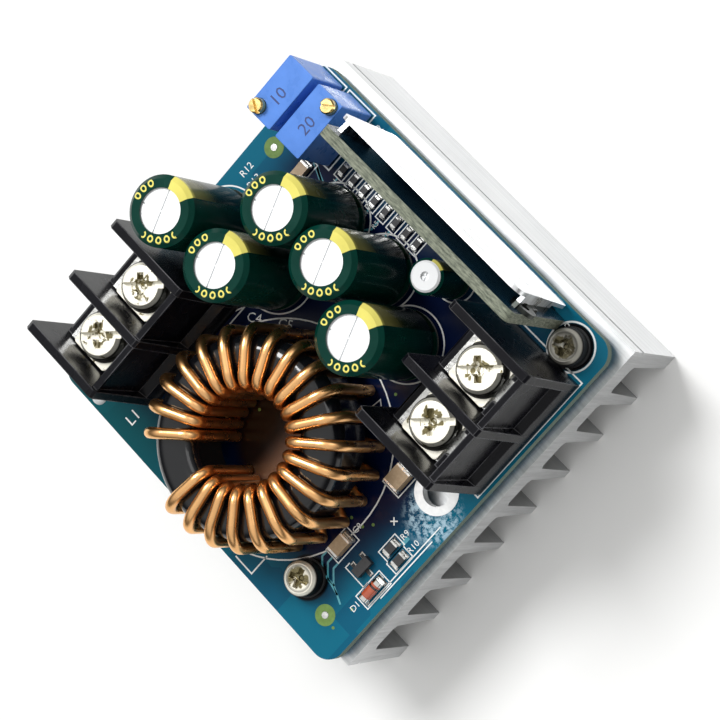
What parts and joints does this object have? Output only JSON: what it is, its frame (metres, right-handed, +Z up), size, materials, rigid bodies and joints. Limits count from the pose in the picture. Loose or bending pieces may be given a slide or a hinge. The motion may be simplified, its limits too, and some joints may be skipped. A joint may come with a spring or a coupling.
{
  "type": "buck converter module",
  "caption": "Step-down power converter board with a wound ring inductor, capacitors, trimmers and screw terminals on a finned aluminium heat sink.",
  "frame": {"origin": "centre of the heat sink's foot plane, on the tip of its middle fin", "axes": "+Z up out of the board, X along the fins, Y across them"},
  "size_m": [0.0616, 0.0612, 0.0413],
  "materials": {
    "sink_aluminium": "matt silver, as extruded",
    "board_blue": "glossy blue solder mask",
    "board_bare": "grey-green laminate",
    "black_nylon": "black nylon",
    "nickel_steel": "nickel plated",
    "chip_black": "black moulding",
    "pad_grey": "grey silicone",
    "core_black": "black epoxy coated powder core",
    "copper_wire": "enamelled copper, glossy",
    "terminal_black": "glossy black moulding",
    "tinned_metal": "tinned, bright",
    "can_aluminium": "bright aluminium",
    "sleeve_green": "dark green shrink sleeve",
    "bung_rubber": "black rubber",
    "trimmer_blue": "blue moulding",
    "adjuster_brass": "turned brass",
    "bright_aluminium": "bright, near mirror",
    "chip_tan": "tan ceramic",
    "diode_glass": "red-brown glass"
  },
  "bodies": {
    "base": {"heatsink": "sink_aluminium", "main_board": "board_blue", "board_spacers": "black_nylon", "board_screws": "nickel_steel", "spring_washers": "nickel_steel", "flat_washers": "black_nylon", "power_transistors": "chip_black", "thermal_pad": "pad_grey", "toroid_core": "core_black", "toroid_winding": "copper_wire", "left_terminal_housing": "terminal_black", "left_terminal_contacts": "tinned_metal", "right_terminal_housing": "terminal_black", "right_terminal_contacts": "tinned_metal", "capacitor_can_1": "can_aluminium", "capacitor_can_2": "can_aluminium", "capacitor_can_3": "can_aluminium", "capacitor_can_4": "can_aluminium", "capacitor_can_5": "can_aluminium", "capacitor_sleeve_1": "sleeve_green", "capacitor_sleeve_2": "sleeve_green", "capacitor_sleeve_3": "sleeve_green", "capacitor_sleeve_4": "sleeve_green", "capacitor_sleeve_5": "sleeve_green", "capacitor_bungs": "bung_rubber", "capacitor_leads": "tinned_metal", "small_capacitor_can": "can_aluminium", "small_capacitor_sleeve": "sleeve_green", "small_capacitor_bung": "bung_rubber", "trimmer_body_1": "trimmer_blue", "trimmer_body_2": "trimmer_blue", "trimmer_pins": "tinned_metal", "control_board": "board_bare", "cover_plate": "bright_aluminium", "chip_resistors": "chip_black", "chip_capacitors": "chip_tan", "chip_transistor": "chip_black", "glass_diode": "diode_glass", "hole_eyelet": "tinned_metal", "solder_bead": "tinned_metal"},
    "left_clamp_plate_1": {"left_clamp_washer_1": "nickel_steel"},
    "left_clamp_driver_1": {"left_clamp_screw_1": "nickel_steel"},
    "left_clamp_plate_2": {"left_clamp_washer_2": "nickel_steel"},
    "left_clamp_driver_2": {"left_clamp_screw_2": "nickel_steel"},
    "right_clamp_plate_1": {"right_clamp_washer_1": "nickel_steel"},
    "right_clamp_driver_1": {"right_clamp_screw_1": "nickel_steel"},
    "right_clamp_plate_2": {"right_clamp_washer_2": "nickel_steel"},
    "right_clamp_driver_2": {"right_clamp_screw_2": "nickel_steel"},
    "trimmer_adjuster_1": {"trimmer_screw_1": "adjuster_brass"},
    "trimmer_adjuster_2": {"trimmer_screw_2": "adjuster_brass"}
  },
  "joints": [
    {"name": "left_clamp_lift_1", "type": "slide", "parent": "base", "child": "left_clamp_plate_1", "axis": [0, 0, 1], "range_m": [0, 0.0024]},
    {"name": "left_clamp_turn_1", "type": "hinge", "parent": "left_clamp_plate_1", "child": "left_clamp_driver_1", "pos_m": [-0.02435, -0.01895, 0.0316], "axis": [0, 0, 1], "range_deg": [0, 1440]},
    {"name": "left_clamp_lift_2", "type": "slide", "parent": "base", "child": "left_clamp_plate_2", "axis": [0, 0, 1], "range_m": [0, 0.0024]},
    {"name": "left_clamp_turn_2", "type": "hinge", "parent": "left_clamp_plate_2", "child": "left_clamp_driver_2", "pos_m": [-0.02435, -0.00945, 0.0316], "axis": [0, 0, 1], "range_deg": [0, 1440]},
    {"name": "right_clamp_lift_1", "type": "slide", "parent": "base", "child": "right_clamp_plate_1", "axis": [0, 0, 1], "range_m": [0, 0.0024]},
    {"name": "right_clamp_turn_1", "type": "hinge", "parent": "right_clamp_plate_1", "child": "right_clamp_driver_1", "pos_m": [0.0201, 0.00715, 0.0316], "axis": [0, 0, 1], "range_deg": [0, 1440]},
    {"name": "right_clamp_lift_2", "type": "slide", "parent": "base", "child": "right_clamp_plate_2", "axis": [0, 0, 1], "range_m": [0, 0.0024]},
    {"name": "right_clamp_turn_2", "type": "hinge", "parent": "right_clamp_plate_2", "child": "right_clamp_driver_2", "pos_m": [0.0201, 0.01665, 0.0316], "axis": [0, 0, 1], "range_deg": [0, 1440]},
    {"name": "trimmer_turn_1", "type": "hinge", "parent": "base", "child": "trimmer_adjuster_1", "pos_m": [-0.02901, 0.01983, 0.0313], "axis": [0, 0, 1], "continuous": true},
    {"name": "trimmer_turn_2", "type": "hinge", "parent": "base", "child": "trimmer_adjuster_2", "pos_m": [-0.02083, 0.02677, 0.0313], "axis": [0, 0, 1], "continuous": true}
  ],
  "couplings": [
    {"joint": "left_clamp_turn_1", "follows": "left_clamp_lift_1", "rad_per_m": 10472},
    {"joint": "left_clamp_turn_2", "follows": "left_clamp_lift_2", "rad_per_m": 10472},
    {"joint": "right_clamp_turn_1", "follows": "right_clamp_lift_1", "rad_per_m": 10472},
    {"joint": "right_clamp_turn_2", "follows": "right_clamp_lift_2", "rad_per_m": 10472}
  ]
}
